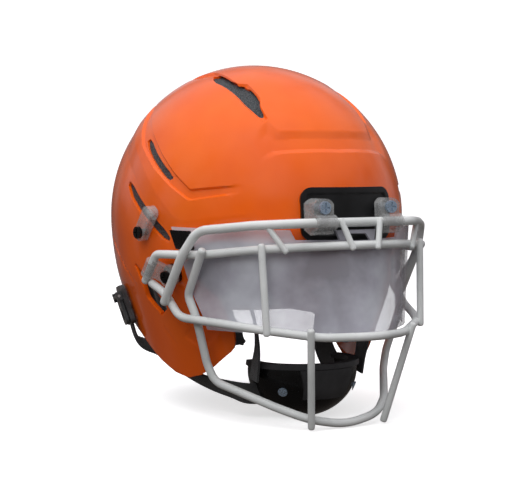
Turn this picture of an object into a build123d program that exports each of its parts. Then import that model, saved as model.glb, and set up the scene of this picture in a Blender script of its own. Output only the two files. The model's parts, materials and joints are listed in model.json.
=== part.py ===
from build123d import *
from math import asin, cos, degrees, hypot, sin, sqrt, radians
import os

# American football helmet. Millimetres, +Z up, face towards -Y, wearer's left towards +X.
# Everything is modelled about the centre of the shell, and set down at the end so that the
# origin is below the middle of the whole object, level with its lowest point.

# ---------------------------------------------------------------- driving dimensions
HALF_WIDTH = 123.0      # shell, centre to side
FRONT = 153.0           # shell, centre to front
BACK = 146.0            # shell, centre to back
CROWN = 134.0           # shell, centre to top
LOWER = 162.0           # half-height of the ellipse below the centre
SKIRT_Z = -60.0         # below this height the sides run straight, closing in slightly
SHELL_FLOOR = -150.0    # lowest level of the uncut shell
WALL = 4.0              # shell wall
PAD_GAP = 4.4           # space between shell wall and liner pads
BUMPER = 6.0            # how far the brow bumper stands proud

T_WIRE = 7.6            # brow bar diameter
WIRE = 7.0              # eye, cheek and chin bars
POST_WIRE = 6.0         # upright bars between them
STRUT_WIRE = 5.0        # short struts between brow bar and upper eye bar
LOOP_CLEAR = 0.25       # gap between a bar and the clip loop round it

VISOR_THICK = 2.4
STRAP_WIDTH = 19.0
STRAP_THICK = 1.8

BROW_CLIP_X = 32.6      # brow clips, centre to centre line
BROW_CLIP_WIDTH = 19.0
BROW_SCREW_Z = 13.2
SCREW_R = 3.0           # clip screw shank
SCREW_HOLE_R = 3.05     # where the screw is held
CLEAR_HOLE_R = 3.4      # where it passes through
HEAD_R = 5.2
HEAD_T = 2.6
NUT_R = 7.5

HINGE_Y, HINGE_Z = -165.5, 1.2      # the straight middle of the brow bar
CUP_PIVOT_Y, CUP_PIVOT_Z = -76.0, -48.0

# ---------------------------------------------------------------- bar centre lines, left half
# Each bar is its points, from the middle of the face to its left end, and the bend at each
# point between the first and the last.
T_BAR = [(0, HINGE_Y, HINGE_Z), (54, HINGE_Y, HINGE_Z), (82, -137.5, -1.2), (113, -101, -6.5),
         (120, -88, -27), (122, -61, -68)]
T_BENDS = [24, 60, 18, 40]
S_BAR = [(0, -176, -16.8), (39.5, -166, -17.6), (78, -140.5, -20.3), (108, -98, -26.5),
         (125.5, -53, -28), (126.2, -35, -52)]
S_BENDS = [90, 90, 90, 8]
L_BAR = [(0, -195, -89), (40.8, -175.6, -90), (77, -145, -85), (93, -117, -82.4),
         (115.2, -75.4, -79.3), (117, -54.1, -61.6), (123.5, -41, -53)]
L_BENDS = [80, 80, 80, 20, 40]
C_BAR = [(0, -151.7, -166.8), (33.5, -148.5, -160.8), (54, -129.7, -151.8), (86.4, -83.6, -133.8),
         (91.7, -80.1, -118.8), (104.3, -84.3, -79.4), (108, -76.1, -61.3), (111, -105.5, -22.5)]
C_BENDS = [60, 60, 24, 24, 24, 9]
EYE_POST = [(78.8, -144.7, -17), (76.5, -150.0, -88)]
CHIN_POST = [(50.4, -174.4, -84), (36, -154.2, -166)]
STRUT_OUT = [(75.6, -144.5, 1), (62.3, -155.5, -22)]
STRUT_IN = [(19.2, -169.6, 3.5), (12.1, -177.2, -19.5)]

# ---------------------------------------------------------------- shell shape


def reach(z):
    """Size of the shell's level section at height z, as a share of the widest one."""
    if z >= 0:
        return sqrt(max(0.0, 1 - (z / CROWN) ** 2))
    if z >= SKIRT_Z:
        return sqrt(1 - (z / LOWER) ** 2)
    rim = sqrt(1 - (SKIRT_Z / LOWER) ** 2)
    slope = -SKIRT_Z / (LOWER ** 2 * rim)
    return rim + (z - SKIRT_Z) * slope


def side_x(y, z, out=0.0):
    """Distance of the shell's side from the middle plane, out mm proud of the surface."""
    depth = (FRONT if y < 0 else BACK) + out
    share = reach(z)
    return (HALF_WIDTH + out) * share * sqrt(max(0.0, 1 - (y / (depth * share)) ** 2))


def outward(y, z):
    """Outward normal of the left side of the shell."""
    x = side_x(y, z)
    depth = FRONT if y < 0 else BACK
    share = reach(z)
    fall = (reach(z - 0.5) - reach(z + 0.5))
    return Vector(x / (HALF_WIDTH ** 2 * share), y / (depth ** 2 * share), fall).normalized()


def side_plane(y, z, out=0.0, turn=0.0):
    """Plane on the left side: x backward, y up, z outward, turned about its normal."""
    normal = outward(y, z)
    base = Vector(side_x(y, z), y, z) + normal * out
    backward = (Vector(0, 1, 0) - normal * normal.Y).normalized()
    upward = normal.cross(backward)
    angle = radians(turn)
    return Plane(origin=base, x_dir=backward * cos(angle) + upward * sin(angle), z_dir=normal)


def dome(grow):
    """Solid bounded by the shell's outer surface, grown outward by grow."""
    unit = 100.0
    low_half = LOWER + grow
    angle = degrees(asin(-SKIRT_Z / low_half))
    rim = unit * cos(radians(angle))
    slope = unit * -SKIRT_Z / (low_half ** 2 * cos(radians(angle)))
    foot = rim + (SHELL_FLOOR - SKIRT_Z) * slope
    top = EllipticalCenterArc((0, 0), unit, CROWN + grow, start_angle=0, arc_size=90)
    low = EllipticalCenterArc((0, 0), unit, low_half, start_angle=0, arc_size=-angle)
    edges = [top, low,
             Line((rim, SKIRT_Z), (foot, SHELL_FLOOR)),
             Line((foot, SHELL_FLOOR), (0, SHELL_FLOOR)),
             Line((0, SHELL_FLOOR), (0, CROWN + grow))]
    profile = Plane.XZ * make_face(edges)
    rear = revolve(profile, Axis.Z, 180)
    front = Rot(0, 0, 180) * rear
    width = (HALF_WIDTH + grow) / unit
    front = scale(front, by=(width, (FRONT + grow) / unit, 1))
    rear = scale(rear, by=(width, (BACK + grow) / unit, 1))
    return front + rear


DOMES = {}


def skin(grow):
    """The same dome, made once for each size."""
    if grow not in DOMES:
        DOMES[grow] = dome(grow)
    return DOMES[grow]


def layer(outer, inner, region):
    """The part of region that lies between two grown or shrunk domes."""
    return (region & skin(outer)) - skin(inner)


def side_prism(outline, low_x, high_x):
    """Side-view outline (y, z) extruded across the left side from low_x to high_x."""
    face = Plane.YZ.offset(low_x) * make_face(Polyline(*outline, close=True))
    return extrude(face, high_x - low_x, dir=(1, 0, 0))


def top_prism(outline, low_z, high_z):
    """Top-view outline (x, y) extruded upward."""
    face = Plane.XY.offset(low_z) * make_face(Polyline(*outline, close=True))
    return extrude(face, high_z - low_z, dir=(0, 0, 1))


def front_prism(outline, low_y, high_y):
    """Front-view outline (x, z) extruded from low_y to high_y."""
    face = Plane.XZ.offset(-low_y) * make_face(Polyline(*outline, close=True))
    return extrude(face, high_y - low_y, dir=(0, 1, 0))


def mirrored(shape):
    return mirror(shape, Plane.YZ)


def both(shape):
    return [shape, mirrored(shape)]


# ---------------------------------------------------------------- shell

EDGE = [(-84, -18.5), (-75, -25), (-66, -38), (-70, -45), (-82, -57.5), (-89, -66), (-91.5, -81),
        (-92, -94), (-90, -103), (-87, -108.5), (-67, -124.5), (-53, -132.5), (-38, -136.5),
        (-23, -133.5), (-4, -124.5), (14, -112.5), (27, -104.5), (44, -98), (70, -96), (100, -99)]
SIDE_SLOT = [(10, 34), (14, 26), (-28, -4), (-52, -20), (-56, -13), (-30, 6)]
REAR_SLIT = [(-2, 70), (4, 66), (-29, 45), (-50, 32), (-53, 37), (-32, 50)]
TOP_SLOT = [(54, -20), (55, -46), (55.5, -66), (55.5, -80), (54, -89), (52, -98), (48.5, -99),
            (48, -90), (44, -84), (43, -60), (48.5, -52), (42, -2)]
STRAP_PORT = [(1, -38), (-8, -57), (-9, -69), (-26, -82.5), (-36, -76), (-20, -52)]


def edge_cutter():
    """Everything ahead of the face opening and below the shell's lower edge."""
    start = (-260, -16)
    brow = (-100, -16)
    lower = Spline(*EDGE)
    tail = (230, -99)
    outline = Polyline(start, brow, EDGE[0]) + lower
    outline += Polyline(EDGE[-1], tail, (230, -260), (-260, -260), start)
    face = Plane.YZ.offset(-300) * make_face(outline)
    return extrude(face, 600, dir=(1, 0, 0))


def rod(start, direction, length, radius):
    """A round bar from start along direction."""
    plane = Plane(origin=start, z_dir=direction)
    return extrude(plane * Circle(radius), length)


def side_screw_hole(y, z, radius):
    plane = side_plane(y, z, -30)
    return extrude(plane * Circle(radius), 60)


def brow_screw_hole(radius):
    return rod((BROW_CLIP_X, -200, BROW_SCREW_Z), (0, 1, 0), 90, radius)


UPPER_SCREW = (-25.0, -11.0)            # y, z of the spare upper clip's screw
BUCKLE_STUD = (41.0, -79.0)             # y, z of the chin strap stud


def make_shell():
    body = skin(0) - skin(-WALL)
    body -= edge_cutter()
    cuts = [side_prism(SIDE_SLOT, 90, 140), side_prism(REAR_SLIT, 80, 130),
            top_prism(TOP_SLOT, 50, 140), side_prism(STRAP_PORT, 70, 140),
            brow_screw_hole(CLEAR_HOLE_R), side_screw_hole(*UPPER_SCREW, CLEAR_HOLE_R),
            side_screw_hole(*BUCKLE_STUD, 2.6)]
    for cut in cuts:
        for one in both(cut):
            body -= one
    return body


def make_underlay():
    """Grey flexible sheet behind the slots, one piece for each slot on the left."""
    top = layer(-WALL - 0.2, -WALL - 2.2, top_prism(
        [(36, 4), (60, -12), (61, -92), (55, -108), (44, -106), (38, -60)], 40, 140))
    rear = layer(-WALL - 0.2, -WALL - 2.2, side_prism(
        [(2, 78), (12, 68), (-28, 36), (-54, 26), (-60, 40), (-36, 58)], 60, 130))
    side = layer(-WALL - 0.2, -WALL - 2.2, side_prism(
        [(8, 42), (22, 30), (-6, 6), (-30, -16), (-50, -26), (-62, -16), (-36, 12)], 80, 130))
    side -= side_screw_hole(*UPPER_SCREW, NUT_R + 0.5)
    return top, rear, side


# ---------------------------------------------------------------- bumpers

def make_front_bumper():
    outline = Plane.XZ.offset(100) * RectangleRounded(83.2, 42, 9)
    block = extrude(Pos(0, 0, 7) * outline, 90)
    body = layer(BUMPER, 0.2, block)
    for hole in both(brow_screw_hole(CLEAR_HOLE_R)):
        body -= hole
    return body


def make_rear_bumper():
    outline = Plane.XZ.offset(-60) * RectangleRounded(96, 26, 8)
    block = extrude(Pos(0, 0, -82) * outline, -120)
    return layer(4.5, 0.2, block)


# ---------------------------------------------------------------- liner

def make_front_pad():
    region = front_prism([(-54, -10), (54, -10), (50, 44), (-50, 44)], -170, -60)
    return layer(-WALL - PAD_GAP, -WALL - PAD_GAP - 17, region)


def make_crown_pad():
    region = top_prism([(-42, -72), (42, -72), (50, 0), (42, 72), (-42, 72), (-50, 0)], 50, 140)
    return layer(-WALL - PAD_GAP, -WALL - PAD_GAP - 18, region)


def make_side_pad():
    region = side_prism([(-58, -12), (-58, 58), (52, 62), (58, -14), (6, -34), (-40, -34)], 52, 140)
    return layer(-WALL - PAD_GAP, -WALL - PAD_GAP - 17, region)


def make_back_pad():
    region = front_prism([(-46, -20), (46, -20), (42, 56), (-42, 56)], 60, 170)
    return layer(-WALL - PAD_GAP, -WALL - PAD_GAP - 17, region)


def make_nape_pad():
    region = front_prism([(-66, -94), (66, -94), (62, -26), (-62, -26)], 62, 170)
    return layer(-WALL - PAD_GAP, -WALL - PAD_GAP - 16, region)


def make_jaw_pad():
    outline = [(-60, -46), (-74, -60), (-81, -78), (-81, -98), (-74, -108), (-40, -120),
               (0, -112), (18, -100), (24, -60), (-10, -38), (-48, -38)]
    region = side_prism(outline, 40, 140)
    return layer(-WALL - PAD_GAP, -WALL - PAD_GAP - 14, region)


# ---------------------------------------------------------------- facemask

def bar(points, wire, corner):
    """A round bar along points, its corners bent to arcs."""
    turns = FilletPolyline(*points, radius=corner) if len(points) > 2 else Line(*points)
    start = Plane(origin=turns @ 0, z_dir=turns % 0)
    return sweep(start * Circle(wire / 2), path=turns)


def bend_radii(points, wanted):
    """The wanted radius at each corner, or the largest that its two runs allow."""
    radii = []
    for a, b, c, radius in zip(points, points[1:], points[2:], wanted):
        before = Vector(*b) - Vector(*a)
        after = Vector(*c) - Vector(*b)
        half_turn = radians(before.get_angle(after)) / 2
        room = 0.45 * min(before.length, after.length)
        radii.append(min(radius, room * cos(half_turn) / max(1e-6, sin(half_turn))))
    return radii


def mask_bar(half, wire, bends, middle=None):
    """A symmetric bar; middle is the bend at its centre point, where that is a corner."""
    right = [(-x, y, z) for x, y, z in reversed(half[1:])]
    centre = [] if middle is None else [half[0]]
    points = right + centre + list(half[1:])
    inner_bends = [] if middle is None else [middle]
    wanted = list(reversed(bends)) + inner_bends + list(bends)
    return bar(points, wire, bend_radii(points, wanted))


def make_facemask():
    bars = [mask_bar(T_BAR, T_WIRE, T_BENDS), mask_bar(S_BAR, WIRE, S_BENDS, 120),
            mask_bar(L_BAR, WIRE, L_BENDS, 80), mask_bar(C_BAR, WIRE, C_BENDS, 90)]
    for ends, wire in [(EYE_POST, POST_WIRE), (CHIN_POST, POST_WIRE),
                       (STRUT_OUT, STRUT_WIRE), (STRUT_IN, STRUT_WIRE)]:
        bars += both(bar(ends, wire, 0))
    frame = bars[0]
    for one in bars[1:]:
        frame += one
    return frame


# ---------------------------------------------------------------- visor

VISOR_TOP = [(116.2, -62), (105.5, -90), (75, -130.5), (38, -156), (0, -165.5)]
VISOR_LOW = [(98, -86), (86.5, -112), (71, -135), (37, -164), (0, -184)]
VISOR_TOP_Z, VISOR_LOW_Z = -5.0, -89.0


def sheet_section(half, height):
    """Thin curved strip seen from above, following half and its mirror image."""
    line = [(x, y) for x, y in half] + [(-x, y) for x, y in reversed(half[:-1])]
    outer = Spline(*line)
    inner_points = []
    for share in [i / 10 for i in range(11)]:
        tangent = outer % share
        point = outer @ share
        side = Vector(-tangent.Y, tangent.X)
        if side.Y < 0:
            side = -side
        inner_points.append(point + side.normalized() * VISOR_THICK)
    inner = Spline(*inner_points)
    ends = [Line(outer @ 0, inner @ 0), Line(outer @ 1, inner @ 1)]
    return Pos(0, 0, height) * make_face([outer, inner] + ends)


def make_visor():
    body = loft([sheet_section(VISOR_LOW, VISOR_LOW_Z), sheet_section(VISOR_TOP, VISOR_TOP_Z)], ruled=True)
    notch = front_prism([(23, 5), (17, -13), (50, -13), (58, 5)], -200, -110)
    window = front_prism([(-12, -13.5), (12, -13.5), (8, -8), (-8, -8)], -200, -120)
    corner = side_prism([(-40, -95), (-91, -95), (-86, -78), (-74, -52), (-66, -34), (-40, -34)], 70, 140)
    for cut in both(notch) + [window] + both(corner):
        body -= cut
    return body


def make_visor_tag():
    """Black end plate on the outside of the visor's upper corner."""
    outline = [(-63, -7.5), (-66, -23), (-86, -23), (-84, -7.5)]
    region = side_prism(outline, 90, 140)
    outer = loft([sheet_section(grown(VISOR_LOW, 1.6), VISOR_LOW_Z),
                  sheet_section(grown(VISOR_TOP, 1.6), VISOR_TOP_Z)], ruled=True)
    return region & outer


def grown(half, out):
    """The same strip moved outward by more than its own thickness."""
    moved = []
    for x, y in half:
        size = hypot(x, y)
        moved.append((x * (1 + (out + VISOR_THICK) / size), y * (1 + (out + VISOR_THICK) / size)))
    return moved


# ---------------------------------------------------------------- clips and screws

def screw(plane, shank, slot):
    """Quarter-turn screw: plane lies under its head, z outward."""
    head = extrude(plane * Circle(HEAD_R), HEAD_T)
    body = head + extrude(plane * Circle(SCREW_R), -shank)
    groove = Plane(plane.origin + plane.z_dir * (HEAD_T - 1.0), x_dir=plane.x_dir, z_dir=plane.z_dir)
    body -= extrude(groove * Rectangle(slot, 1.3), 2)
    body -= extrude(groove * Rectangle(1.3, slot), 2)
    return body


BROW_FACE_Y = -165.0        # outer face of the brow clip, under the screw head


def make_brow_clip():
    """Clear strap clip: a loop round the brow bar with its tails up to the screw."""
    outer_r = T_WIRE / 2 + 2.7
    left = BROW_CLIP_X - BROW_CLIP_WIDTH / 2
    loop = Plane.YZ.offset(left) * Pos(HINGE_Y, HINGE_Z) * Circle(outer_r)
    tails = Plane.YZ.offset(left) * make_face(Polyline(
        (BROW_FACE_Y, HINGE_Z + 3), (BROW_FACE_Y, 20.5), (-145, 20.5), (-145, -3), (-160, -9), (-165, -8),
        (-166.5, HINGE_Z), close=True))
    body = extrude(loop, BROW_CLIP_WIDTH) + extrude(tails, BROW_CLIP_WIDTH)
    rounding = rod((BROW_CLIP_X, -190, 9.5), (0, 1, 0), 60, BROW_CLIP_WIDTH / 2 + 2)
    body &= rounding + Pos(BROW_CLIP_X, -160, -5) * Box(BROW_CLIP_WIDTH, 60, 28)
    body -= skin(BUMPER + 0.2)
    body -= rod((left - 1, HINGE_Y, HINGE_Z), (1, 0, 0), BROW_CLIP_WIDTH + 2, T_WIRE / 2 + LOOP_CLEAR)
    return body - brow_screw_hole(SCREW_HOLE_R)


def make_brow_screw():
    plane = Plane(origin=(BROW_CLIP_X, BROW_FACE_Y - 0.05, BROW_SCREW_Z), x_dir=(1, 0, 0), z_dir=(0, -1, 0))
    return screw(plane, 40, 7.6) - skin(-WALL - 2.2)


def make_nut(stock, hole):
    """Conforming nut plate behind the shell wall, round the given screw hole."""
    return layer(-WALL - 0.1, -WALL - 3.4, stock) - hole


def make_brow_nut():
    return make_nut(brow_screw_hole(NUT_R), brow_screw_hole(SCREW_HOLE_R))


def make_upper_nut():
    return make_nut(side_screw_hole(*UPPER_SCREW, NUT_R), side_screw_hole(*UPPER_SCREW, SCREW_HOLE_R))


UPPER_CLIP_LEAN = 36.0      # the upper clip leans forward at its top
UPPER_CLIP_T = 6.6


def make_upper_clip():
    """Spare clear clip across the side slot, with an empty loop at its top."""
    plane = side_plane(*UPPER_SCREW, 0.0, UPPER_CLIP_LEAN)
    outline = plane * Pos(0, 9.5) * RectangleRounded(13, 33, 5.5)
    body = extrude(outline, UPPER_CLIP_T + 3, both=True) - skin(0.2)
    body &= extrude(plane.offset(UPPER_CLIP_T) * Rectangle(60, 80), -20)
    hole_axis = plane.x_dir
    hole_at = plane.from_local_coords((-10, 20.5, UPPER_CLIP_T - 4.2))
    body -= rod(hole_at, hole_axis, 20, 2.6)
    return body - side_screw_hole(*UPPER_SCREW, SCREW_HOLE_R)


def make_upper_screw():
    plane = side_plane(*UPPER_SCREW, UPPER_CLIP_T + 0.05)
    return screw(plane, 30, 7.0) - skin(-WALL - 2.6)


SIDE_SCREW = (-55.0, -45.0)     # y, z of the side release screw
RECEIVER_T = 3.4
SIDE_CLIP_T = 5.0
SIDE_CLIP_OUT = RECEIVER_T + 0.6    # underside of the side clip above the shell


def release_path():
    """Direction in which the side clip leaves when the facemask swings."""
    y, z = SIDE_SCREW
    return Vector(0, (z - HINGE_Z), -(y - HINGE_Y)).normalized()


def make_receiver():
    """Raised boss on the shell with an open slot that the release screw slides out of."""
    plane = side_plane(*SIDE_SCREW)
    body = extrude(plane * Circle(9.0), RECEIVER_T + 3, both=True) - skin(0.2)
    body &= extrude(plane.offset(RECEIVER_T) * Rectangle(60, 60), -20)
    slot = extrude(plane * Circle(SCREW_R + 0.5), 30, both=True)
    for step in (4, 8, 12):
        shift = release_path() * step
        slot += Pos(*shift) * extrude(plane * Circle(SCREW_R + 0.6 + 0.04 * step), 30, both=True)
    return body - slot


def side_clip_plane():
    return side_plane(*SIDE_SCREW, SIDE_CLIP_OUT)


def make_side_clip():
    """Clear strap clip from the release screw back to the eye bar's turned-down end."""
    plane = side_clip_plane()
    pad = extrude(plane * Circle(9.5), SIDE_CLIP_T)
    top, low = Vector(*S_BAR[-2]), Vector(*S_BAR[-1])
    run = (low - top).normalized()
    hub = rod(top + run * 8, run, 15, WIRE / 2 + 2.6)
    arm_plane = Plane(origin=plane.origin + plane.z_dir * SIDE_CLIP_T / 2,
                      x_dir=(top + run * 15 - plane.origin), z_dir=run)
    arm = extrude(arm_plane * Pos(8, 0) * Rectangle(18, SIDE_CLIP_T), 7.5, both=True)
    body = pad + hub + arm
    body -= rod(top - run * 5, run, 60, WIRE / 2 + LOOP_CLEAR)
    body -= skin(SIDE_CLIP_OUT - 0.5)
    body -= extrude(plane.offset(SIDE_CLIP_T) * Circle(HEAD_R + 0.6), 12)
    return body - extrude(plane * Circle(SCREW_HOLE_R), 40, both=True)


def make_side_screw():
    plane = side_plane(*SIDE_SCREW, SIDE_CLIP_OUT + SIDE_CLIP_T + 0.05)
    return screw(plane, SIDE_CLIP_T + SIDE_CLIP_OUT - 0.8, 7.0)


# ---------------------------------------------------------------- chin cup and webbing

CUP_CENTRE = (0, -84, -128)
CUP_HALF = (49, 43, 41.5)       # half-sizes of the chin cup's outside
CUP_WALL = 3.0


def cup_blank(grow):
    unit = scale(Sphere(100), by=tuple((h + grow) / 100 for h in CUP_HALF))
    return Pos(*CUP_CENTRE) * unit


def cup_region(low_z, high_z, rear_y):
    return Pos(0, rear_y - 60, (low_z + high_z) / 2) * Box(120, 120, high_z - low_z)


def make_cup_shell():
    """Hard outer cup, open at the top and the back, with strap slots at the sides."""
    body = (cup_blank(0) - cup_blank(-CUP_WALL)) & cup_region(-172, -124, -70)
    slot = Pos(46, -84, -132) * Box(20, 14, 2.6)
    low_slot = Pos(40, -80, -152) * Box(24, 14, 2.6)
    for cut in both(slot) + both(low_slot):
        body -= cut
    for cut in both(cup_rivet_rod(2.05, 20)):
        body -= cut
    return body


def make_cup_liner():
    return (cup_blank(-CUP_WALL - 0.1) - cup_blank(-CUP_WALL - 8)) & cup_region(-172, -125, -72)


def make_cup_panel():
    """Soft front panel on the outside of the cup."""
    region = front_prism([(-26, -124.5), (26, -124.5), (20, -150), (-20, -150)], -140, -100)
    return (cup_blank(1.6) - cup_blank(0.05)) & region


def make_cup_lip():
    """Thick rim round the cup's upper edge."""
    ring = (cup_blank(2.2) - cup_blank(-CUP_WALL - 3)) & cup_region(-123.9, -119.5, -70)
    return ring


def cup_rivet_rod(radius, length):
    return rod((36, -110, -143), (0.62, -0.72, -0.25), length, radius)


def make_cup_rivet():
    shank = cup_rivet_rod(2.0, 14) - cup_blank(-CUP_WALL - 0.05)
    head = cup_rivet_rod(4.0, 30) & (cup_blank(1.7) - cup_blank(0.05))
    return head + (shank & cup_blank(0.5))


def ribbon(points, facing, width, thick):
    """Flat webbing as one closed faceted band; facing is where its flat side looks."""
    corners = []
    for i, point in enumerate(points):
        here = Vector(*point)
        before = Vector(*points[max(0, i - 1)])
        after = Vector(*points[min(len(points) - 1, i + 1)])
        along = (after - before).normalized()
        wide = Vector(*facing[i]).cross(along).normalized() * (width / 2)
        deep = along.cross(wide).normalized() * (thick / 2)
        corners.append([here + wide + deep, here - wide + deep, here - wide - deep, here + wide - deep])
    faces = []
    for ring, following in zip(corners, corners[1:]):
        for k in range(4):
            a, b = ring[k], ring[(k + 1) % 4]
            c, d = following[(k + 1) % 4], following[k]
            faces += [Face(Wire.make_polygon([a, b, c])), Face(Wire.make_polygon([a, c, d]))]
    for ring in (corners[0], corners[-1]):
        faces += [Face(Wire.make_polygon(ring[:3])), Face(Wire.make_polygon([ring[0], ring[2], ring[3]]))]
    return Solid(Shell(faces))


# ---------------------------------------------------------------- buckle and straps

BUCKLE_TURN = -15.0
PIN_R = 1.25


def buckle_plane(out):
    return side_plane(*BUCKLE_STUD, out, BUCKLE_TURN)


def make_stud():
    """Snap stud riveted through the shell for the chin strap buckle."""
    plane = buckle_plane(0)
    neck = extrude(plane * Circle(2.5), 12, both=True) - skin(-WALL - 1.6)
    neck &= extrude(plane.offset(3.6) * Rectangle(40, 40), -40)
    flange = extrude(plane * Circle(5.0), 8, both=True)
    outer = (flange & skin(1.2)) - skin(0.05)
    inner = (flange & skin(-WALL - 0.05)) - skin(-WALL - 1.5)
    return neck + outer + inner


def make_buckle_base():
    plane = buckle_plane(1.6)
    body = extrude(plane * RectangleRounded(28, 36, 5), 4.2) - skin(1.4)
    ears = [extrude(plane.offset(3) * Pos(side * 10.6, 9) * Rectangle(3, 8), 6.6) for side in (-1, 1)]
    for ear in ears:
        body += ear
    body -= extrude(plane * Pos(0, -12.8) * Rectangle(20.4, 3.2), 30, both=True)
    body -= extrude(plane.offset(-9) * Circle(5.3), 11.6)
    return body - buckle_pin_rod(PIN_R, 30)


def buckle_pin_axis():
    plane = buckle_plane(1.6)
    return plane.from_local_coords((0, 9, 7.2)), plane.x_dir


def buckle_pin_rod(radius, length):
    middle, along = buckle_pin_axis()
    return rod(middle - along * length / 2, along, length, radius)


def make_buckle_pin():
    return buckle_pin_rod(PIN_R, 24.2)


def make_buckle_lever():
    """Cam lever lying over the base, hinged on the pin at its upper end."""
    plane = buckle_plane(1.6)
    plate = extrude(plane.offset(5.0) * Pos(0, -3.2) * RectangleRounded(17, 28, 5), 2.6)
    boss = buckle_pin_rod(2.4, 17)
    body = plate + boss
    body -= extrude(plane.offset(4.5) * Pos(0, -8) * RectangleRounded(9, 9, 3), 9)
    return body - buckle_pin_rod(PIN_R + 0.05, 40)


UPPER_STRAP = [(53.4, -92, -134), (53.2, -95, -120), (53.8, -98, -104), (55, -95.5, -84),
               (57, -88, -66), (59, -79, -50)]
UPPER_FACING = [(1, 0, 0)] * 6
LOWER_STRAP = [(52, -80, -147), (60, -62, -145), (67.5, -40, -142), (74.5, -18, -136.5), (82, 3, -128.5),
               (88.5, 19, -118.5)]
LOWER_FACING = [(0.8, -0.5, -0.2), (0.8, -0.3, -0.5), (0.8, 0, -0.6), (0.8, 0.2, -0.6), (0.8, 0.3, -0.6),
                (0.85, 0.3, -0.45), (0.92, 0.3, -0.3), (0.92, 0.3, -0.3)]


def make_upper_strap():
    return ribbon(UPPER_STRAP, UPPER_FACING, 13, STRAP_THICK)


def make_lower_strap():
    """From the cup's rear slot round the jaw's lower edge and up to the buckle's lower bar."""
    plane = buckle_plane(1.6)
    ends = [plane.from_local_coords((0, low, out)) for low, out in ((-33, 1.6), (-19.2, 2.4))]
    route = LOWER_STRAP + [(end.X, end.Y, end.Z) for end in ends]
    return ribbon(route, LOWER_FACING, STRAP_WIDTH, STRAP_THICK)


# ---------------------------------------------------------------- assembly

def build():
    """All nodes about the shell's centre, by name."""
    nodes = {
        "shell": make_shell(), "front_bumper": make_front_bumper(), "rear_bumper": make_rear_bumper(),
        "front_pad": make_front_pad(), "crown_pad": make_crown_pad(), "back_pad": make_back_pad(),
        "nape_pad": make_nape_pad(), "facemask": make_facemask(), "visor": make_visor(),
        "cup_shell": make_cup_shell(), "cup_liner": make_cup_liner(), "cup_panel": make_cup_panel(),
        "cup_lip": make_cup_lip(),
    }
    top, rear, side = make_underlay()
    pairs = {
        "crown_underlay": top, "rear_underlay": rear, "side_underlay": side,
        "side_pad": make_side_pad(), "jaw_pad": make_jaw_pad(), "visor_tag": make_visor_tag(),
        "brow_clip": make_brow_clip(), "brow_screw": make_brow_screw(),
        "upper_clip": make_upper_clip(), "upper_screw": make_upper_screw(),
        "side_receiver": make_receiver(), "side_clip": make_side_clip(), "side_screw": make_side_screw(),
        "upper_strap": make_upper_strap(), "lower_strap": make_lower_strap(),
        "strap_stud": make_stud(), "buckle_base": make_buckle_base(), "buckle_pin": make_buckle_pin(),
        "buckle_lever": make_buckle_lever(),
    }
    for name, left in pairs.items():
        nodes[name + "_left"] = left
        nodes[name + "_right"] = mirrored(left)
    nuts = [make_brow_nut(), make_upper_nut()]
    nodes["clip_nuts"] = Compound([part for nut in nuts for part in both(nut)])
    nodes["cup_rivets"] = Compound(both(make_cup_rivet()))
    return nodes


def seat_shift(nodes):
    """Move that puts the origin below the middle of the whole object, at its lowest level."""
    boxes = [part.bounding_box() for part in nodes.values()]
    low_y = min(box.min.Y for box in boxes)
    high_y = max(box.max.Y for box in boxes)
    low_z = min(box.min.Z for box in boxes)
    return (0, -(low_y + high_y) / 2, -low_z)


if __name__ == "__main__":
    os.makedirs("parts", exist_ok=True)
    made = build()
    shift = seat_shift(made)
    print("shell centre in the finished frame:", shift)
    for name, part in made.items():
        export_step(Pos(*shift) * part, f"parts/{name}.step")
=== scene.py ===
"""Looks of the football helmet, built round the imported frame.

Sizes are in millimetres about the shell's centre.
"""

import json
import math

import bmesh
import bpy
import numpy as np
from mathutils import Matrix, Vector


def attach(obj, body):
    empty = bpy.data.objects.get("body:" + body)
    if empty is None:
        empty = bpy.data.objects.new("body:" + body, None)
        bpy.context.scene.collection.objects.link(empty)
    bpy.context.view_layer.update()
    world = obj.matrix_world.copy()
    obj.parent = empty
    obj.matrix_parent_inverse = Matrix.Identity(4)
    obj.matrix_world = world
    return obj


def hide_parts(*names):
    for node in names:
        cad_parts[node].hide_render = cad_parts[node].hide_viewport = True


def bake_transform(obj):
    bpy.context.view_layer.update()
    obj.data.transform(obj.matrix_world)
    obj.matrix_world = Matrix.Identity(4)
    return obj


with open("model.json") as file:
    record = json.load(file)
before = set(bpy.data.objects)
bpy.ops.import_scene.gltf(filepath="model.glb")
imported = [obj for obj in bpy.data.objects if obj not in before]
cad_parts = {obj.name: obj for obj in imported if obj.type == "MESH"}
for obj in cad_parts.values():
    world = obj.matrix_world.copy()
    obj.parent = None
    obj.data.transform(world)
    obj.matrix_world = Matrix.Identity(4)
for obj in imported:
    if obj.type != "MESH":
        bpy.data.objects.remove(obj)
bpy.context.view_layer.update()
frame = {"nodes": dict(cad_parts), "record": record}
NODES = frame["nodes"]
RECORD = frame["record"]
MOUNTS = {mount["name"]: mount for mount in RECORD["mounts"]}
HEAD = Vector(MOUNTS["head_fit"]["pos_m"])      # centre of the shell in the row frame
MM = 0.001

# Shell: half-sizes of the dome, and the straight skirt below it.
HALF_WIDTH, FRONT, BACK, CROWN, LOWER = 123.0, 153.0, 146.0, 134.0, 162.0
SKIRT_Z, FLOOR_Z = -60.0, -150.0
WALL = 4.0
GRID = 2.5                                       # mesh spacing on the shell

WELD = 0.00005                                   # metres: halves joined at the middle plane
SHARP_EDGE = math.radians(62)                    # edges that get rounded on the shell and bumpers
SHELL_ROUNDING = 0.8


# ---------------------------------------------------------------- small tools

def smooth(value, low, high):
    """0 at low, 1 at high, with an even start and end."""
    t = np.clip((np.asarray(value, float) - low) / (high - low), 0, 1)
    return t * t * (3 - 2 * t)


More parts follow.
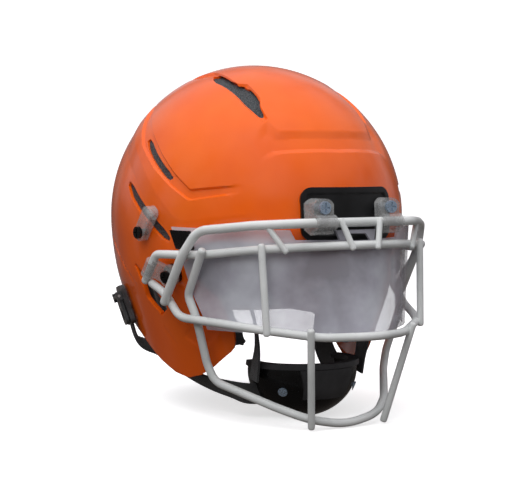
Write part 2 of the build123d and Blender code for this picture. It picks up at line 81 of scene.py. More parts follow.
def mesh_piece(name, points, faces, body, slot, *nodes, sharp=35.0):
    """A mesh object from points in millimetres about the shell's centre."""
    mesh = bpy.data.meshes.new(name)
    mesh.from_pydata([HEAD + Vector(p) * MM for p in points], [], faces)
    mesh.validate()
    return place(name, mesh, body, slot, *nodes, sharp=sharp)


def place(name, mesh, body, slot, *nodes, sharp=35.0):
    """Puts a mesh in the scene, riding on a body and standing for its CAD nodes."""
    piece = bpy.data.objects.new(name, mesh)
    bpy.context.scene.collection.objects.link(piece)
    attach(piece, body)
    finish_piece(piece, slot, sharp)
    if nodes:
        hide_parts(*nodes)
    return piece


def finish_piece(piece, slot, sharp=35.0):
    mesh = piece.data
    mesh.materials.clear()
    mesh.materials.append(LOOKS[slot])
    mesh.shade_smooth()
    mesh.set_sharp_from_angle(angle=math.radians(sharp))


def add(piece, kind, **settings):
    modifier = piece.modifiers.new(kind.lower(), kind)
    for key, value in settings.items():
        setattr(modifier, key, value)
    return modifier


def apply_modifiers(piece):
    bpy.context.view_layer.update()
    graph = bpy.context.evaluated_depsgraph_get()
    mesh = bpy.data.meshes.new_from_object(piece.evaluated_get(graph), depsgraph=graph)
    piece.modifiers.clear()
    piece.data = mesh


# ---------------------------------------------------------------- materials

class Paint:
    """A Principled material whose colour, roughness and bump come from procedural textures."""

    def __init__(self, name, rough, metallic=0.0, **sockets):
        self.material = bpy.data.materials.new(name)
        self.material.use_nodes = True
        self.nodes = self.material.node_tree.nodes
        self.links = self.material.node_tree.links
        self.shader = self.nodes["Principled BSDF"]
        self.shader.inputs["Roughness"].default_value = rough
        self.shader.inputs["Metallic"].default_value = metallic
        for key, value in sockets.items():
            self.shader.inputs[key.replace("_", " ")].default_value = value
        self.where = self.nodes.new("ShaderNodeTexCoord").outputs["Object"]
        self.height = None

    def noise(self, per_metre, detail=3.0, stretch=(1, 1, 1)):
        where = self.where
        if stretch != (1, 1, 1):
            mapping = self.nodes.new("ShaderNodeMapping")
            mapping.inputs["Scale"].default_value = stretch
            self.links.new(where, mapping.inputs["Vector"])
            where = mapping.outputs["Vector"]
        node = self.nodes.new("ShaderNodeTexNoise")
        node.inputs["Scale"].default_value = per_metre
        node.inputs["Detail"].default_value = detail
        self.links.new(where, node.inputs["Vector"])
        return node.outputs["Fac"]

    def cells(self, per_metre, feature="F1"):
        node = self.nodes.new("ShaderNodeTexVoronoi")
        node.feature = feature
        node.inputs["Scale"].default_value = per_metre
        self.links.new(self.where, node.inputs["Vector"])
        return node.outputs["Distance"]

    def wave(self, per_metre, direction="X", coordinates=None):
        node = self.nodes.new("ShaderNodeTexWave")
        node.bands_direction = direction
        node.inputs["Scale"].default_value = per_metre
        node.inputs["Distortion"].default_value = 0.4
        node.inputs["Detail"].default_value = 1.0
        self.links.new(coordinates or self.where, node.inputs["Vector"])
        return node.outputs["Fac"]

    def ramp(self, source, low, high, stops):
        """Colours along source, from low to high."""
        node = self.nodes.new("ShaderNodeValToRGB")
        count = len(stops)
        while len(node.color_ramp.elements) < count:
            node.color_ramp.elements.new(0.5)
        for i, colour in enumerate(stops):
            node.color_ramp.elements[i].position = low + (high - low) * i / (count - 1)
            node.color_ramp.elements[i].color = (*colour, 1)
        self.links.new(source, node.inputs["Fac"])
        self.links.new(node.outputs["Color"], self.shader.inputs["Base Color"])
        return self

    def rough(self, source, low, high):
        node = self.nodes.new("ShaderNodeMapRange")
        node.inputs["From Min"].default_value = 0.3
        node.inputs["From Max"].default_value = 0.7
        node.inputs["To Min"].default_value = low
        node.inputs["To Max"].default_value = high
        self.links.new(source, node.inputs["Value"])
        self.links.new(node.outputs["Result"], self.shader.inputs["Roughness"])
        return self

    def bump(self, source, depth, strength=1.0):
        """Adds a relief of depth metres; several reliefs stack."""
        node = self.nodes.new("ShaderNodeBump")
        node.inputs["Distance"].default_value = depth
        node.inputs["Strength"].default_value = strength
        self.links.new(source, node.inputs["Height"])
        if self.height is not None:
            self.links.new(self.height, node.inputs["Normal"])
        self.height = node.outputs["Normal"]
        self.links.new(self.height, self.shader.inputs["Normal"])
        return self


def shell_paint():
    paint = Paint("orange_shell", 0.24, Coat_Weight=0.45, Coat_Roughness=0.04, IOR=1.42)
    paint.ramp(paint.noise(14), 0.3, 0.7, [(0.88, 0.115, 0.003), (0.94, 0.135, 0.005), (0.98, 0.155, 0.007)])
    paint.rough(paint.noise(90, 4), 0.17, 0.27)
    paint.bump(paint.noise(260, 2), 0.00005)
    return paint.bump(paint.noise(34, 1), 0.00018).material


def rubber_paint(name="black_rubber", dark=0.012, light=0.024, rough=0.36):
    paint = Paint(name, rough, Coat_Weight=0.1, Coat_Roughness=0.25, IOR=1.35)
    paint.ramp(paint.noise(60), 0.3, 0.7, [(dark, dark, dark * 1.06), (light, light, light * 1.05)])
    paint.rough(paint.noise(200, 4), rough - 0.06, rough + 0.1)
    return paint.bump(paint.noise(900, 2), 0.00006).material


def foam_paint(name="dark_foam", base=0.022):
    """Knitted cover over foam."""
    paint = Paint(name, 0.72, Sheen_Weight=0.35, Sheen_Roughness=0.5)
    paint.ramp(paint.noise(70), 0.3, 0.7, [(base, base, base * 1.1), (base * 2, base * 2, base * 2.15)])
    paint.rough(paint.noise(300), 0.62, 0.85)
    paint.bump(paint.cells(1500), 0.00025)
    return paint.bump(paint.noise(40, 2), 0.0006).material


def sheet_paint():
    """Fine grained grey sheet behind the slots."""
    paint = Paint("grey_sheet", 0.6)
    paint.ramp(paint.cells(820), 0.1, 0.75, [(0.1, 0.118, 0.126), (0.06, 0.072, 0.078), (0.022, 0.027, 0.03)])
    return paint.bump(paint.cells(820), 0.0004).material


def wire_paint():
    """Satin powder coat with small scuffs."""
    paint = Paint("coated_wire", 0.32, Coat_Weight=0.3, Coat_Roughness=0.2)
    paint.ramp(paint.noise(26, 5), 0.3, 0.72, [(0.66, 0.69, 0.68), (0.76, 0.785, 0.775), (0.83, 0.85, 0.845)])
    paint.rough(paint.noise(160, 5), 0.26, 0.44)
    return paint.bump(paint.noise(700, 3), 0.00007).material


def lens_paint():
    paint = Paint("smoke_lens", 0.05, Alpha=0.52, IOR=1.5, Coat_Weight=0.5, Coat_Roughness=0.03)
    paint.ramp(paint.noise(16, 4), 0.35, 0.65, [(0.42, 0.41, 0.46), (0.66, 0.66, 0.74), (0.9, 0.93, 1.0)])
    paint.rough(paint.noise(60, 4), 0.02, 0.09)
    return paint.bump(paint.noise(20, 1), 0.0001).material


def clear_paint():
    paint = Paint("clear_plastic", 0.12, Alpha=0.4, IOR=1.5, Coat_Weight=0.8, Coat_Roughness=0.03)
    paint.ramp(paint.noise(90, 3), 0.3, 0.7, [(0.42, 0.43, 0.43), (0.66, 0.67, 0.66)])
    paint.rough(paint.noise(150, 4), 0.08, 0.3)
    return paint.bump(paint.noise(220, 3), 0.0003).material


def steel_paint(name="screw_steel", tint=(0.5, 0.64, 0.8)):
    paint = Paint(name, 0.28, metallic=0.7)
    dark = tuple(c * 0.82 for c in tint)
    paint.ramp(paint.noise(500, 4, (1, 1, 6)), 0.3, 0.7, [dark, tint])
    paint.rough(paint.noise(800, 3), 0.2, 0.42)
    return paint.bump(paint.noise(1500, 3), 0.00006).material


def webbing_paint():
    """Woven strap: ribs across it and threads along it, by its own flat coordinates."""
    paint = Paint("webbing", 0.7, Sheen_Weight=0.3)
    paint.ramp(paint.noise(120, 4), 0.3, 0.7, [(0.018, 0.019, 0.021), (0.045, 0.046, 0.05)])
    flat = paint.nodes.new("ShaderNodeUVMap").outputs["UV"]
    paint.bump(paint.wave(300, "X", flat), 0.00035)
    return paint.bump(paint.wave(420, "Y", flat), 0.0003).material


def buckle_paint():
    paint = Paint("buckle_plastic", 0.3, Coat_Weight=0.5, Coat_Roughness=0.12)
    paint.ramp(paint.noise(120, 4), 0.3, 0.7, [(0.02, 0.021, 0.022), (0.06, 0.062, 0.065)])
    paint.rough(paint.noise(260, 4), 0.2, 0.42)
    return paint.bump(paint.noise(600, 3), 0.0001).material


LOOKS = {
    "shell_plastic": shell_paint(),
    "black_rubber": rubber_paint("black_rubber", 0.004, 0.009, 0.42),
    "dark_foam": foam_paint(),
    "jaw_foam": foam_paint("jaw_foam", 0.03),
    "grey_sheet": sheet_paint(),
    "coated_wire": wire_paint(),
    "smoke_lens": lens_paint(),
    "black_plastic": rubber_paint("black_plastic", 0.003, 0.006, 0.26),
    "clear_plastic": clear_paint(),
    "screw_steel": steel_paint(),
    "webbing": webbing_paint(),
    "cup_trim": rubber_paint("cup_trim", 0.03, 0.05, 0.5),
    "stud_brass": steel_paint("stud_brass", (0.5, 0.5, 0.5)),
    "buckle_plastic": buckle_paint(),
}


# ---------------------------------------------------------------- shell surface

def reach(z):
    """Size of the level section at height z, as a share of the widest one."""
    z = np.asarray(z, float)
    rim = math.sqrt(1 - (SKIRT_Z / LOWER) ** 2)
    slope = -SKIRT_Z / (LOWER ** 2 * rim)
    upper = np.sqrt(np.clip(1 - (z / CROWN) ** 2, 0, 1))
    middle = np.sqrt(np.clip(1 - (z / LOWER) ** 2, 0, 1))
    return np.where(z >= 0, upper, np.where(z >= SKIRT_Z, middle, rim + (z - SKIRT_Z) * slope))


def depth_of(y):
    return np.where(np.asarray(y) < 0, FRONT, BACK)


def on_side(y, z):
    share = float(reach(z))
    return (HALF_WIDTH * share * math.sqrt(max(0, 1 - (y / (float(depth_of(y)) * share)) ** 2)), y, z)


def on_front(x, z):
    share = float(reach(z))
    return (x, -FRONT * share * math.sqrt(max(0, 1 - (x / (HALF_WIDTH * share)) ** 2)), z)


def on_top(x, y):
    return (x, y, CROWN * math.sqrt(max(0, 1 - (x / HALF_WIDTH) ** 2 - (y / float(depth_of(y))) ** 2)))


def normals(points):
    """Outward normals of the dome at points on it."""
    x, y, z = points.T
    share = np.maximum(reach(z), 0.02)
    fall = reach(z - 0.5) - reach(z + 0.5)
    lift = np.where(z > 0, z / CROWN ** 2 / share, fall)
    level = np.stack([x / (HALF_WIDTH ** 2 * share), y / (depth_of(y) ** 2 * share), lift], 1)
    return level / np.linalg.norm(level, axis=1)[:, None]


def chart(points):
    """Flat map of the dome seen from its crown, in which outlines are plain polygons."""
    unit = points / np.linalg.norm(points, axis=1)[:, None]
    return unit[:, :2] / (1.02 + unit[:, 2:])


def inside(flat, polygon):
    """Which flat points lie inside a polygon."""
    hit = np.zeros(len(flat), bool)
    for (x0, y0), (x1, y1) in zip(polygon, np.roll(polygon, -1, 0)):
        crosses = (y0 > flat[:, 1]) != (y1 > flat[:, 1])
        rise = y1 - y0 if y1 != y0 else 1e-9
        hit ^= crosses & (flat[:, 0] < (x1 - x0) * (flat[:, 1] - y0) / rise + x0)
    return hit


def to_segments(points, line):
    """Distance from each point to a chain of straight segments."""
    best = np.full(len(points), 1e9)
    for a, b in zip(line[:-1], line[1:]):
        along = b - a
        t = np.clip((points - a) @ along / max(1e-9, along @ along), 0, 1)
        best = np.minimum(best, np.linalg.norm(points - a - t[:, None] * along, axis=1))
    return best


def surface_line(corners, step=4.0):
    """Corner points joined along the dome's surface."""
    corners = np.array(corners, float)
    line = [corners[0]]
    for a, b in zip(corners[:-1], corners[1:]):
        count = max(1, int(np.linalg.norm(b - a) / step))
        for k in range(1, count + 1):
            p = a + (b - a) * k / count
            share = max(float(reach(p[2])), 0.02)
            level = math.hypot(p[0] / (HALF_WIDTH * share), p[1] / (float(depth_of(p[1])) * share))
            if p[2] > 0:
                level = math.sqrt((level * share) ** 2 + (p[2] / CROWN) ** 2)
                line.append(p / level)
            else:
                line.append(np.array([p[0] / level, p[1] / level, p[2]]))
    return np.array(line)


class Region:
    """Part of the dome bounded by a line, closed by extra points that don't count as its edge."""

    def __init__(self, corners, closing=()):
        self.line = surface_line(corners)
        ring = np.vstack([self.line, np.array(closing, float).reshape(-1, 3)])
        self.polygon = chart(ring)

    def __call__(self, points):
        away = to_segments(points, self.line)
        return np.where(inside(chart(points), self.polygon), away, -away)


class Outline:
    """Signed distance to a flat polygon seen along one axis: positive inside."""

    def __init__(self, corners, axes, smoothing=0):
        ring = np.array(corners, float)
        for _ in range(smoothing):
            after = np.roll(ring, -1, 0)
            ring = np.stack([ring * 0.75 + after * 0.25, ring * 0.25 + after * 0.75], 1).reshape(-1, 2)
        self.ring, self.axes = ring, list(axes)

    def __call__(self, points):
        flat = points[:, self.axes]
        away = to_segments(flat, np.vstack([self.ring, self.ring[:1]]))
        return np.where(inside(flat, self.ring), away, -away)


SIDE, TOP, FACE = (1, 2), (0, 1), (0, 2)

# Cuts, as in the frame.
FACE_EDGE = [(-260, -16), (-100, -16), (-84, -18.5), (-75, -25), (-66, -38), (-70, -45), (-82, -57.5),
             (-89, -66), (-91.5, -81), (-92, -94), (-90, -103), (-87, -108.5), (-67, -124.5), (-53, -132.5),
             (-38, -136.5), (-23, -133.5), (-4, -124.5), (14, -112.5), (27, -104.5), (44, -98), (70, -96),
             (100, -99), (230, -99), (230, -260), (-260, -260)]
SIDE_SLOT = [(10, 34), (14, 26), (-28, -4), (-52, -20), (-56, -13), (-30, 6)]
REAR_SLIT = [(-2, 70), (4, 66), (-29, 45), (-50, 32), (-53, 37), (-32, 50)]
TOP_SLOT = [(54, -20), (55, -46), (55.5, -66), (55.5, -80), (54, -89), (52, -98), (48.5, -99),
            (48, -90), (44, -84), (43, -60), (48.5, -52), (42, -2)]
STRAP_PORT = [(1, -38), (-8, -57), (-9, -69), (-26, -82.5), (-36, -76), (-20, -52)]

# Relief: recessed channels between raised panels, and creases where the surface folds inward.
FRONT_CHANNEL = [on_front(0, 75), on_front(25, 75), on_front(45, 74.5), on_top(48.5, -104), on_top(58, -104),
                 on_front(70, 62), on_front(66, 47), on_front(52, 55.5), on_front(30, 57), on_front(0, 57)]
TOP_CHANNEL = [on_top(52, -103), on_top(47.5, -103), on_top(47, -90), on_top(42.8, -83), on_top(41.6, -60),
               on_top(47, -51.5), on_top(40.6, -2), on_top(41, 40), on_top(38, 78), on_top(44, 80),
               on_top(49, 40), on_top(53.5, 0), on_top(55.5, -22), on_top(57, -50), on_top(57, -80),
               on_top(55.5, -91)]
GROOVE = [on_side(-117, 24), on_side(-74, 16.7), on_side(-52, 28.5), on_side(-29, 42), on_side(5, 62),
          on_side(20, 73), on_side(38, 86), on_side(62, 100), on_side(60, 105), on_side(31, 93),
          on_side(-3, 74), on_side(-33, 55), on_side(-54, 40), on_side(-74, 26.5), on_side(-117, 31)]
CREASE = [on_front(52, 53), on_front(57, 40), on_front(64, 22), on_front(74, 8), on_side(-100, 4),
          on_side(-70, 0), on_side(-60, 3), on_side(-32, 27), on_side(-3, 49), on_side(20, 62),
          on_side(60, 84), on_side(95, 92)]
JAW_CHANNEL = [on_side(78, -8), on_side(41, -29), on_side(7, -55), on_side(-19, -87), on_side(-34, -110),
               on_side(-40, -111), on_side(-23, -91), on_side(4, -60), on_side(40, -35), on_side(78, -14)]
JAW_PANEL = [on_side(-84, -92), on_side(-62, -112), on_side(-46, -100), on_side(-66, -74)]


CHANNEL_DEEP, JAW_DEEP, PANEL_DEEP = 2.2, 1.3, 0.8
FOLD_SLOPE, FOLD_DEEP = 0.1, 1.5


def channel_depth(points):
    """How far the surface is recessed, by the channels' own wall widths."""
    x, y, z = points.T
    front = RELIEF["front"](points)
    wall = 4.5 + 2.5 * smooth(z, 64, 68)
    deep = np.clip(front / wall, 0, 1) * (1 - smooth(x, 50, 66))
    top = np.clip(RELIEF["top"](points) / 1.6, 0, 1) * (1 - smooth(y, 30, 74))
    groove = np.clip(RELIEF["groove"](points) / 1.7, 0, 1)
    groove = groove * (1 - smooth(-y, 96, 114)) * (1 - smooth(y, 44, 62))
    jaw = np.clip(RELIEF["jaw"](points) / 2.4, 0, 1) * (1 - smooth(y, 50, 78)) * smooth(z, -112, -92)
    panel = np.clip(RELIEF["panel"](points) / 3.0, 0, 1)
    return np.maximum.reduce([CHANNEL_DEEP * deep, CHANNEL_DEEP * top, CHANNEL_DEEP * groove, JAW_DEEP * jaw,
                              PANEL_DEEP * panel])


def fold_depth(points):
    """The surface turns inward below the long crease."""
    below = RELIEF["crease"](points)
    x, y, z = points.T
    fade = (1 - smooth(y, 50, 95)) * smooth(z, -60, -20) * smooth(x, 52, 84)
    return np.clip(below * FOLD_SLOPE, 0, FOLD_DEEP) * fade


def score(work, field, level=0.0):
    """Adds an edge to the mesh along the line where field equals level."""
    work.verts.ensure_lookup_table()
    points = np.array([v.co for v in work.verts])
    values = field(points) - level
    work.verts.index_update()
    marked = {v for v, value in zip(work.verts, values) if abs(value) < 0.12}
    crossing = [e for e in work.edges
                if values[e.verts[0].index] * values[e.verts[1].index] < 0
                and e.verts[0] not in marked and e.verts[1] not in marked]
    splits = [(e, e.verts[0], values[e.verts[0].index], values[e.verts[1].index]) for e in crossing]
    for edge, start, a, b in splits:
        marked.add(bmesh.utils.edge_split(edge, start, a / (a - b))[1])
    for face in list({f for v in marked for f in v.link_faces}):
        ring = [v for v in face.verts if v in marked]
        if len(ring) == 2 and not any(e.other_vert(ring[0]) is ring[1] for e in ring[0].link_edges):
            bmesh.utils.face_split(face, ring[0], ring[1])


def drop(work, field):
    """Deletes the faces that lie where field is positive."""
    centres = np.array([f.calc_center_median() for f in work.faces])
    gone = [f for f, value in zip(work.faces, field(centres)) if value > 0]
    bmesh.ops.delete(work, geom=gone, context="FACES")


def dome_grid(spacing=GRID):
    """Left half of the dome as rows from the crown down."""
    arc = int(CROWN * math.pi / 2 / spacing)
    heights = [CROWN * math.cos(math.pi / 2 * k / arc) for k in range(1, arc + 1)]
    heights += list(np.arange(-spacing, FLOOR_Z - 0.1, -spacing))
    columns = int(390 / spacing)
    work = bmesh.new()
    crown = work.verts.new((0, 0, CROWN))
    rows = []
    for z in heights:
        share = float(reach(z))
        row = []
        for k in range(columns + 1):
            turn = math.pi * k / columns
            x = HALF_WIDTH * share * math.sin(turn) if 0 < k < columns else 0.0
            y = -math.cos(turn)
            row.append(work.verts.new((x, y * share * (FRONT if y < 0 else BACK), z)))
        rows.append(row)
    for a, b in zip(rows[0], rows[0][1:]):
        work.faces.new((crown, a, b))
    for upper, lower in zip(rows, rows[1:]):
        for k in range(columns):
            work.faces.new((upper[k], lower[k], lower[k + 1], upper[k + 1]))
    return work


RELIEF = {
    "front": Region(FRONT_CHANNEL, [(-20, -120, 57), (-20, -120, 75)]),
    "top": Region(TOP_CHANNEL + TOP_CHANNEL[:1]),
    "groove": Region(GROOVE + GROOVE[:1]),
    "jaw": Region(JAW_CHANNEL + JAW_CHANNEL[:1]),
    "panel": Region(JAW_PANEL + JAW_PANEL[:1]),
    "crease": Region(CREASE, [(0, 140, 60), (0, 120, -150), (123, 0, -150), (0, -150, -150), (-20, -150, 0),
                              (-20, -140, 53)]),
}
CUTS = [Outline(FACE_EDGE, SIDE), Outline(SIDE_SLOT, SIDE, 1), Outline(REAR_SLIT, SIDE, 1),
        Outline(TOP_SLOT, TOP, 1), Outline(STRAP_PORT, SIDE)]


def above(field):
    """Limits a top-view outline to the upper half of the dome."""
    return lambda points: np.where(points[:, 2] > 20, field(points), -50.0)


CUTS[3] = above(CUTS[3])


WALL_LINES = {"front": (0, 4.5, 7), "top": (0, 1.6), "groove": (0, 1.7), "jaw": (0, 2.4), "panel": (0, 3),
              "crease": (0, 15)}      # where each relief's wall starts and stops, inward from its outline


def make_shell():
    work = dome_grid()
    for cut in CUTS:
        score(work, cut)
        drop(work, cut)
    for name, levels in WALL_LINES.items():
        for level in levels:
            score(work, RELIEF[name], level)
    work.verts.ensure_lookup_table()
    points = np.array([v.co for v in work.verts])
    sunk = channel_depth(points) + fold_depth(points)
    for vert, p, n, d in zip(work.verts, points, normals(points), sunk):
        vert.co = HEAD + Vector(p - n * d) * MM
        if p[0] < 1e-6:
            vert.co.x = HEAD.x
    mesh = bpy.data.meshes.new("outer_shell")
    work.to_mesh(mesh)
    work.free()
    piece = place("outer_shell", mesh, "helmet", "shell_plastic", "shell")
    add(piece, "MIRROR", use_clip=True, merge_threshold=WELD)
    add(piece, "SOLIDIFY", thickness=WALL * MM, offset=-1)
    add(piece, "BEVEL", width=SHELL_ROUNDING * MM, segments=2, angle_limit=SHARP_EDGE)
    apply_modifiers(piece)
    finish_piece(piece, "shell_plastic", 24)
    return piece


def dome_patch(name, outline, height, thick, body, slot, node, levels=(), spacing=1.6, edge=1.0):
    """Plate that follows the dome inside an outline; height(points, field) lifts its outer face."""
    work = dome_grid(spacing)
    field = outline
    away = [v for v, value in zip(work.verts, field(np.array([v.co for v in work.verts]))) if value < -4]
    bmesh.ops.delete(work, geom=away, context="VERTS")
    score(work, field)
    drop(work, lambda points: -field(points))
    for level in levels:
        score(work, field, level)
    work.verts.ensure_lookup_table()
    points = np.array([v.co for v in work.verts])
    for vert, p, n, d in zip(work.verts, points, normals(points), height(points, field)):
        vert.co = HEAD + Vector(p + n * d) * MM
        if p[0] < 1e-6:
            vert.co.x = HEAD.x
    mesh = bpy.data.meshes.new(name)
    work.to_mesh(mesh)
    work.free()
    piece = place(name, mesh, body, slot, node)
    add(piece, "MIRROR", use_clip=True, merge_threshold=WELD)
    add(piece, "SOLIDIFY", thickness=thick * MM, offset=-1)
    add(piece, "BEVEL", width=edge * MM, segments=3, angle_limit=SHARP_EDGE)
    apply_modifiers(piece)
    finish_piece(piece, slot, 26)
    return piece


def rounded_rectangle(low, high, radius, steps=6):
    """Corner points of a rounded rectangle between two opposite corners."""
    (x0, y0), (x1, y1) = low, high
    ring = []
    for cx, cy, start in ((x1, y1, 0), (x0, y1, 90), (x0, y0, 180), (x1, y0, 270)):
        for k in range(steps + 1):
            a = math.radians(start + 90 * k / steps)
            ring.append((cx - math.copysign(radius, cx - (x0 + x1) / 2) + radius * math.cos(a),
                         cy - math.copysign(radius, cy - (y0 + y1) / 2) + radius * math.sin(a)))
    return ring


def facing_front(field):
    return lambda points: np.where(points[:, 1] < 0, field(points), -50.0)


def facing_back(field):
    return lambda points: np.where(points[:, 1] > 0, field(points), -50.0)


BROW_LIFT, BROW_THICK, BROW_SUNK, BROW_BORDER = 5.8, 5.2, 1.3, (4.2, 5.6)
NAPE_LIFT, NAPE_THICK, RIB_HEIGHT, RIB_PITCH, NAPE_BORDER = 4.0, 3.7, 0.5, 3.2, (3, 5)
BUMPER_GRID = 1.6


def make_bumpers():
    """Black brow bumper with a raised border round a sunk plain panel, and a ribbed rear one."""
    brow = facing_front(Outline(rounded_rectangle((-41.6, -14), (41.6, 28), 9), FACE))

    def brow_height(points, field):
        return BROW_LIFT - BROW_SUNK * smooth(field(points), *BROW_BORDER)

    dome_patch("brow_bumper", brow, brow_height, BROW_THICK, "helmet", "black_rubber", "front_bumper",
               BROW_BORDER, BUMPER_GRID, 1.6)
    nape = facing_back(Outline(rounded_rectangle((-48, -95), (48, -69), 8), FACE))

    def nape_height(points, field):
        ribs = RIB_HEIGHT * np.sin(points[:, 2] * math.pi / RIB_PITCH)
        return NAPE_LIFT + ribs * smooth(field(points), *NAPE_BORDER)

    dome_patch("nape_bumper", nape, nape_height, NAPE_THICK, "helmet", "black_rubber", "rear_bumper",
               NAPE_BORDER, BUMPER_GRID, 1.4)


# ---------------------------------------------------------------- facemask

T_BAR = [(0, -165.5, 1.2), (54, -165.5, 1.2), (82, -137.5, -1.2), (113, -101, -6.5), (120, -88, -27),
         (122, -61, -68)]
S_BAR = [(0, -176, -16.8), (39.5, -166, -17.6), (78, -140.5, -20.3), (108, -98, -26.5), (125.5, -53, -28),
         (126.2, -35, -52)]
L_BAR = [(0, -195, -89), (40.8, -175.6, -90), (77, -145, -85), (93, -117, -82.4), (115.2, -75.4, -79.3),
         (117, -54.1, -61.6), (123.5, -41, -53)]
C_BAR = [(0, -151.7, -166.8), (33.5, -148.5, -160.8), (54, -129.7, -151.8), (86.4, -83.6, -133.8),
         (91.7, -80.1, -118.8), (104.3, -84.3, -79.4), (108, -76.1, -61.3), (111, -105.5, -22.5)]
LONG_BARS = [(T_BAR, 7.6, [24, 60, 18, 40], None), (S_BAR, 7.0, [90, 90, 90, 8], 120),
             (L_BAR, 7.0, [80, 80, 80, 20, 40], 80), (C_BAR, 7.0, [60, 60, 24, 24, 24, 9], 90)]
SHORT_BARS = [([(78.8, -144.7, -17), (76.5, -150.0, -88)], 6.0),
              ([(50.4, -174.4, -84), (36, -154.2, -166)], 6.0),
              ([(75.6, -144.5, 1), (62.3, -155.5, -22)], 5.0),
              ([(19.2, -169.6, 3.5), (12.1, -177.2, -19.5)], 5.0)]


def bent(points, radii, per_bend=9):
    """Points along straight runs joined by tangent arcs."""
    points = [Vector(p) for p in points]
    path = [points[0]]
    for a, b, c, radius in zip(points, points[1:], points[2:], radii):
        back, on = (a - b).normalized(), (c - b).normalized()
        half = (math.pi - back.angle(on)) / 2
        setback = min(radius * math.tan(half), 0.45 * min((a - b).length, (c - b).length))
        radius = setback / max(1e-6, math.tan(half))
        centre = b + (back + on).normalized() * (radius / math.cos(half))
        start, stop = b + back * setback - centre, b + on * setback - centre
        for k in range(per_bend + 1):
            path.append(centre + start.slerp(stop, k / per_bend).normalized() * radius)
    path.append(points[-1])
    return path


def tube(path, radius, sides=20):
    """Closed round bar along a path, with domed ends: (points, faces)."""
    path = [Vector(p) for p in path]
    steps = [(0.0, 0.35), (0.12, 0.7), (0.4, 0.93)]
    ahead = (path[1] - path[0]).normalized()
    behind = (path[-1] - path[-2]).normalized()
    rings = [(path[0] + ahead * radius * (d - 0.55), radius * r, ahead) for d, r in steps]
    for k, p in enumerate(path):
        along = (path[min(k + 1, len(path) - 1)] - path[max(k - 1, 0)]).normalized()
        rings.append((p, radius, along))
    rings[len(steps)] = (path[0] + ahead * radius * 0.35, radius, ahead)
    rings[-1] = (path[-1] - behind * radius * 0.35, radius, behind)
    rings += [(path[-1] - behind * radius * (d - 0.55), radius * r, behind) for d, r in reversed(steps)]
    across = rings[0][2].orthogonal().normalized()
    points, faces = [], []
    for centre, size, along in rings:
        across = (across - along * across.dot(along)).normalized()
        other = along.cross(across)
        for k in range(sides):
            turn = 2 * math.pi * k / sides
            points.append(centre + (across * math.cos(turn) + other * math.sin(turn)) * size)
    for r in range(len(rings) - 1):
        for k in range(sides):
            a, b = r * sides + k, r * sides + (k + 1) % sides
            faces.append((a, b, b + sides, a + sides))
    last = (len(rings) - 1) * sides
    faces.append(tuple(range(sides - 1, -1, -1)))
    faces.append(tuple(range(last, last + sides)))
    return points, faces


def joined(parts):
    """Several (points, faces) as one."""
    points, faces = [], []
    for more, rings in parts:
        faces += [tuple(i + len(points) for i in ring) for ring in rings]
        points += list(more)
    return points, faces


def flipped(part):
    """The mirror image across the middle plane."""
    points, faces = part
    return [Vector((-p[0], p[1], p[2])) for p in points], [tuple(reversed(f)) for f in faces]


def make_facemask():
    parts = []
    for half, wire, bends, middle in LONG_BARS:
        right = [(-x, y, z) for x, y, z in reversed(half[1:])]
        centre = [] if middle is None else [half[0]]
        radii = list(reversed(bends)) + ([] if middle is None else [middle]) + list(bends)
        parts.append(tube(bent(right + centre + half[1:], radii), wire / 2, 24))
    for ends, wire in SHORT_BARS:
        bar = tube([Vector(ends[0]).lerp(Vector(ends[1]), k / 6) for k in range(7)], wire / 2)
        parts += [bar, flipped(bar)]
    mesh_piece("mask_wire", *joined(parts), "facemask", "coated_wire", "facemask", sharp=50)


# ---------------------------------------------------------------- liner pads

PADS = {      # body, finish, axes along and up the pad, and its cells' pitch along and up
    "front_pad": ("helmet", "dark_foam", "x", "z", 36, 27),
    "crown_pad": ("helmet", "dark_foam", "x", "y", 30, 36),
    "back_pad": ("helmet", "dark_foam", "x", "z", 31, 38),
    "nape_pad": ("helmet", "dark_foam", "x", "z", 44, 34),
    "side_pad_left": ("helmet", "dark_foam", "y", "z", 37, 36),
    "side_pad_right": ("helmet", "dark_foam", "y", "z", 37, 36),
    "jaw_pad_left": ("helmet", "jaw_foam", "y", "z", 13, 60),
    "jaw_pad_right": ("helmet", "jaw_foam", "y", "z", 13, 60),
    "cup_liner": ("chin_cup", "dark_foam", "x", "z", 22, 30),
}
VOXEL = 0.0045                  # metres
SWELL_CAP = 0.0026              # metres
TUCK = 0.0012                   # metres
INFLATE_STEPS, PRESSURE = 20, 4
SEAM_DEPTH, SEAM_FLAT, SEAM_REACH = 1.7, 0.4, 3.6


def coordinates(mesh):
    flat = np.empty(len(mesh.vertices) * 3)
    mesh.vertices.foreach_get("co", flat)
    return flat.reshape(-1, 3)


def start_pad(node):
    """A slightly tucked, evenly meshed copy of a pad's solid, ready to be inflated."""
    pad = bpy.data.objects.new("soft_" + node, NODES[node].data.copy())
    bpy.context.scene.collection.objects.link(pad)
    add(pad, "REMESH", mode="VOXEL", voxel_size=VOXEL)
    apply_modifiers(pad)
    mesh = pad.data
    inward = np.array([v.normal for v in mesh.vertices])
    mesh.vertices.foreach_set("co", (coordinates(mesh) - inward * TUCK).ravel())
    mesh.update()
    return pad


